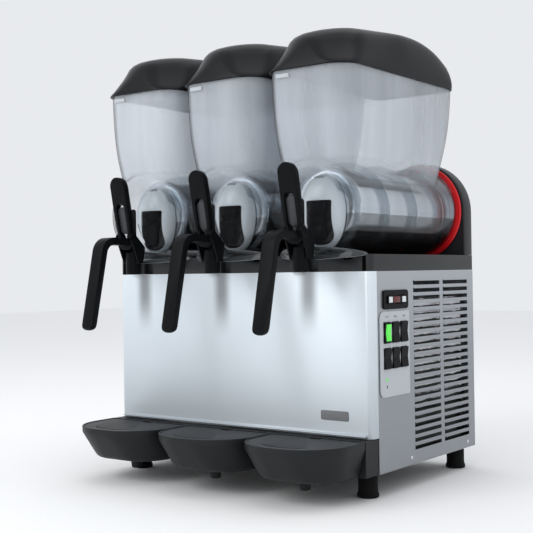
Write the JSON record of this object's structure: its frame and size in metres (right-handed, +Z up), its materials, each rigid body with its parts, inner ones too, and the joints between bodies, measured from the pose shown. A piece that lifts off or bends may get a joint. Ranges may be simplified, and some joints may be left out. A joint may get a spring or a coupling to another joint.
{
  "type": "slush machine",
  "caption": "Counter-top slush dispenser with clear removable bowls, scraper augers, lever taps and drip trays over a refrigerated steel cabinet.",
  "frame": {"origin": "on the floor plane, at the middle of the object's bounding box", "axes": "+X to the right seen from the serving side, -Y towards the serving side, +Z up"},
  "size_m": [0.6054, 0.5896, 0.838],
  "materials": {
    "brushed_steel": "brushed stainless sheet, soft satin reflections",
    "bright_steel": "polished stainless drum",
    "grey_paint": "grey painted steel",
    "black_plastic": "black plastic, satin to gloss",
    "charcoal_plastic": "charcoal moulded plastic, fine matt grain",
    "red_silicone": "red silicone, satin",
    "clear_plastic": "clear moulded polycarbonate",
    "white_plastic": "white food-grade plastic",
    "silver_plate": null,
    "green_lens": "lit green rocker",
    "black_rubber": "black rubber",
    "aluminium": "aluminium fins"
  },
  "bodies": {
    "cabinet": {"chassis_base": "grey_paint", "front_panel": "brushed_steel", "side_panel_right": "brushed_steel", "side_panel_left": "brushed_steel", "rear_panel": "brushed_steel", "deck": "charcoal_plastic", "rear_housing": "charcoal_plastic", "compressor": "black_plastic", "condenser": "aluminium", "fan_shroud": "grey_paint", "main_switch_bezel": "black_plastic", "control_plate": "silver_plate", "foot_front_left": "black_rubber", "foot_front_right": "black_rubber", "foot_rear_left": "black_rubber", "foot_rear_right": "black_rubber", "evaporator_left": "bright_steel", "bowl_seal_left": "red_silicone", "gearmotor_left": "grey_paint", "evaporator_centre": "bright_steel", "bowl_seal_centre": "red_silicone", "gearmotor_centre": "grey_paint", "evaporator_right": "bright_steel", "bowl_seal_right": "red_silicone", "gearmotor_right": "grey_paint"},
    "auger_drive_left": {"auger_left": "white_plastic", "drive_shaft_left": "black_plastic"},
    "bowl_unit_left": {"bowl_left": "clear_plastic", "tap_body_left": "black_plastic"},
    "lid_left_body": {"lid_left": "black_plastic"},
    "tap_lever_left_body": {"tap_lever_left": "black_plastic"},
    "tap_piston_left_body": {"tap_piston_left": "charcoal_plastic"},
    "drip_tray_left_body": {"drip_tray_left": "charcoal_plastic"},
    "drip_grid_left_body": {"drip_grid_left": "charcoal_plastic"},
    "auger_drive_centre": {"auger_centre": "white_plastic", "drive_shaft_centre": "black_plastic"},
    "bowl_unit_centre": {"bowl_centre": "clear_plastic", "tap_body_centre": "black_plastic"},
    "lid_centre_body": {"lid_centre": "black_plastic"},
    "tap_lever_centre_body": {"tap_lever_centre": "black_plastic"},
    "tap_piston_centre_body": {"tap_piston_centre": "charcoal_plastic"},
    "drip_tray_centre_body": {"drip_tray_centre": "charcoal_plastic"},
    "drip_grid_centre_body": {"drip_grid_centre": "charcoal_plastic"},
    "auger_drive_right": {"auger_right": "white_plastic", "drive_shaft_right": "black_plastic"},
    "bowl_unit_right": {"bowl_right": "clear_plastic", "tap_body_right": "black_plastic"},
    "lid_right_body": {"lid_right": "black_plastic"},
    "tap_lever_right_body": {"tap_lever_right": "black_plastic"},
    "tap_piston_right_body": {"tap_piston_right": "charcoal_plastic"},
    "drip_tray_right_body": {"drip_tray_right": "charcoal_plastic"},
    "drip_grid_right_body": {"drip_grid_right": "charcoal_plastic"},
    "fan": {"fan_blades": "black_plastic"},
    "main_switch": {"main_switch_rocker": "white_plastic"},
    "switch_upper_left": {"rocker_upper_left": "green_lens"},
    "switch_upper_centre": {"rocker_upper_centre": "black_plastic"},
    "switch_upper_right": {"rocker_upper_right": "black_plastic"},
    "switch_lower_left": {"rocker_lower_left": "black_plastic"},
    "switch_lower_centre": {"rocker_lower_centre": "black_plastic"},
    "switch_lower_right": {"rocker_lower_right": "black_plastic"}
  },
  "joints": [
    {"name": "auger_spin_left", "type": "hinge", "parent": "cabinet", "child": "auger_drive_left", "pos_m": [-0.2027, -0.00424, 0.515], "axis": [0, 1, 0], "continuous": true},
    {"name": "bowl_slide_left", "type": "slide", "parent": "cabinet", "child": "bowl_unit_left", "axis": [0, -1, 0], "range_m": [0, 0.42]},
    {"name": "lid_lift_left", "type": "slide", "parent": "bowl_unit_left", "child": "lid_left_body", "axis": [0, 0, 1], "range_m": [0, 0.1]},
    {"name": "lever_pull_left", "type": "hinge", "parent": "bowl_unit_left", "child": "tap_lever_left_body", "pos_m": [-0.2027, -0.18724, 0.468], "axis": [1, 0, 0], "range_deg": [0, 25]},
    {"name": "piston_rise_left", "type": "slide", "parent": "bowl_unit_left", "child": "tap_piston_left_body", "axis": [0, 0, 1], "range_m": [0, 0.0087]},
    {"name": "tray_slide_left", "type": "slide", "parent": "cabinet", "child": "drip_tray_left_body", "axis": [0, -1, 0], "range_m": [0, 0.15]},
    {"name": "grid_lift_left", "type": "slide", "parent": "drip_tray_left_body", "child": "drip_grid_left_body", "axis": [0, 0, 1], "range_m": [0, 0.03]},
    {"name": "auger_spin_centre", "type": "hinge", "parent": "cabinet", "child": "auger_drive_centre", "pos_m": [-0.0027, -0.00424, 0.515], "axis": [0, 1, 0], "continuous": true},
    {"name": "bowl_slide_centre", "type": "slide", "parent": "cabinet", "child": "bowl_unit_centre", "axis": [0, -1, 0], "range_m": [0, 0.42]},
    {"name": "lid_lift_centre", "type": "slide", "parent": "bowl_unit_centre", "child": "lid_centre_body", "axis": [0, 0, 1], "range_m": [0, 0.1]},
    {"name": "lever_pull_centre", "type": "hinge", "parent": "bowl_unit_centre", "child": "tap_lever_centre_body", "pos_m": [-0.0027, -0.18724, 0.468], "axis": [1, 0, 0], "range_deg": [0, 25]},
    {"name": "piston_rise_centre", "type": "slide", "parent": "bowl_unit_centre", "child": "tap_piston_centre_body", "axis": [0, 0, 1], "range_m": [0, 0.0087]},
    {"name": "tray_slide_centre", "type": "slide", "parent": "cabinet", "child": "drip_tray_centre_body", "axis": [0, -1, 0], "range_m": [0, 0.15]},
    {"name": "grid_lift_centre", "type": "slide", "parent": "drip_tray_centre_body", "child": "drip_grid_centre_body", "axis": [0, 0, 1], "range_m": [0, 0.03]},
    {"name": "auger_spin_right", "type": "hinge", "parent": "cabinet", "child": "auger_drive_right", "pos_m": [0.1973, -0.00424, 0.515], "axis": [0, 1, 0], "continuous": true},
    {"name": "bowl_slide_right", "type": "slide", "parent": "cabinet", "child": "bowl_unit_right", "axis": [0, -1, 0], "range_m": [0, 0.42]},
    {"name": "lid_lift_right", "type": "slide", "parent": "bowl_unit_right", "child": "lid_right_body", "axis": [0, 0, 1], "range_m": [0, 0.1]},
    {"name": "lever_pull_right", "type": "hinge", "parent": "bowl_unit_right", "child": "tap_lever_right_body", "pos_m": [0.1973, -0.18724, 0.468], "axis": [1, 0, 0], "range_deg": [0, 25]},
    {"name": "piston_rise_right", "type": "slide", "parent": "bowl_unit_right", "child": "tap_piston_right_body", "axis": [0, 0, 1], "range_m": [0, 0.0087]},
    {"name": "tray_slide_right", "type": "slide", "parent": "cabinet", "child": "drip_tray_right_body", "axis": [0, -1, 0], "range_m": [0, 0.15]},
    {"name": "grid_lift_right", "type": "slide", "parent": "drip_tray_right_body", "child": "drip_grid_right_body", "axis": [0, 0, 1], "range_m": [0, 0.03]},
    {"name": "fan_spin", "type": "hinge", "parent": "cabinet", "child": "fan", "pos_m": [0.2393, 0.15576, 0.205], "axis": [1, 0, 0], "continuous": true},
    {"name": "main_switch_tip", "type": "hinge", "parent": "cabinet", "child": "main_switch", "pos_m": [0.2977, -0.02224, 0.346], "axis": [0, 0, 1], "range_deg": [-6, 6]},
    {"name": "switch_tip_upper_left", "type": "hinge", "parent": "cabinet", "child": "switch_upper_left", "pos_m": [0.2977, -0.05374, 0.288], "axis": [0, 1, 0], "range_deg": [-7, 7]},
    {"name": "switch_tip_upper_centre", "type": "hinge", "parent": "cabinet", "child": "switch_upper_centre", "pos_m": [0.2977, -0.02424, 0.288], "axis": [0, 1, 0], "range_deg": [-7, 7]},
    {"name": "switch_tip_upper_right", "type": "hinge", "parent": "cabinet", "child": "switch_upper_right", "pos_m": [0.2977, 0.00526, 0.288], "axis": [0, 1, 0], "range_deg": [-7, 7]},
    {"name": "switch_tip_lower_left", "type": "hinge", "parent": "cabinet", "child": "switch_lower_left", "pos_m": [0.2977, -0.05374, 0.2425], "axis": [0, 1, 0], "range_deg": [-7, 7]},
    {"name": "switch_tip_lower_centre", "type": "hinge", "parent": "cabinet", "child": "switch_lower_centre", "pos_m": [0.2977, -0.02424, 0.2425], "axis": [0, 1, 0], "range_deg": [-7, 7]},
    {"name": "switch_tip_lower_right", "type": "hinge", "parent": "cabinet", "child": "switch_lower_right", "pos_m": [0.2977, 0.00526, 0.2425], "axis": [0, 1, 0], "range_deg": [-7, 7]}
  ],
  "couplings": [
    {"joint": "piston_rise_left", "follows": "lever_pull_left", "m_per_rad": 0.0195},
    {"joint": "piston_rise_centre", "follows": "lever_pull_centre", "m_per_rad": 0.0195},
    {"joint": "piston_rise_right", "follows": "lever_pull_right", "m_per_rad": 0.0195}
  ]
}
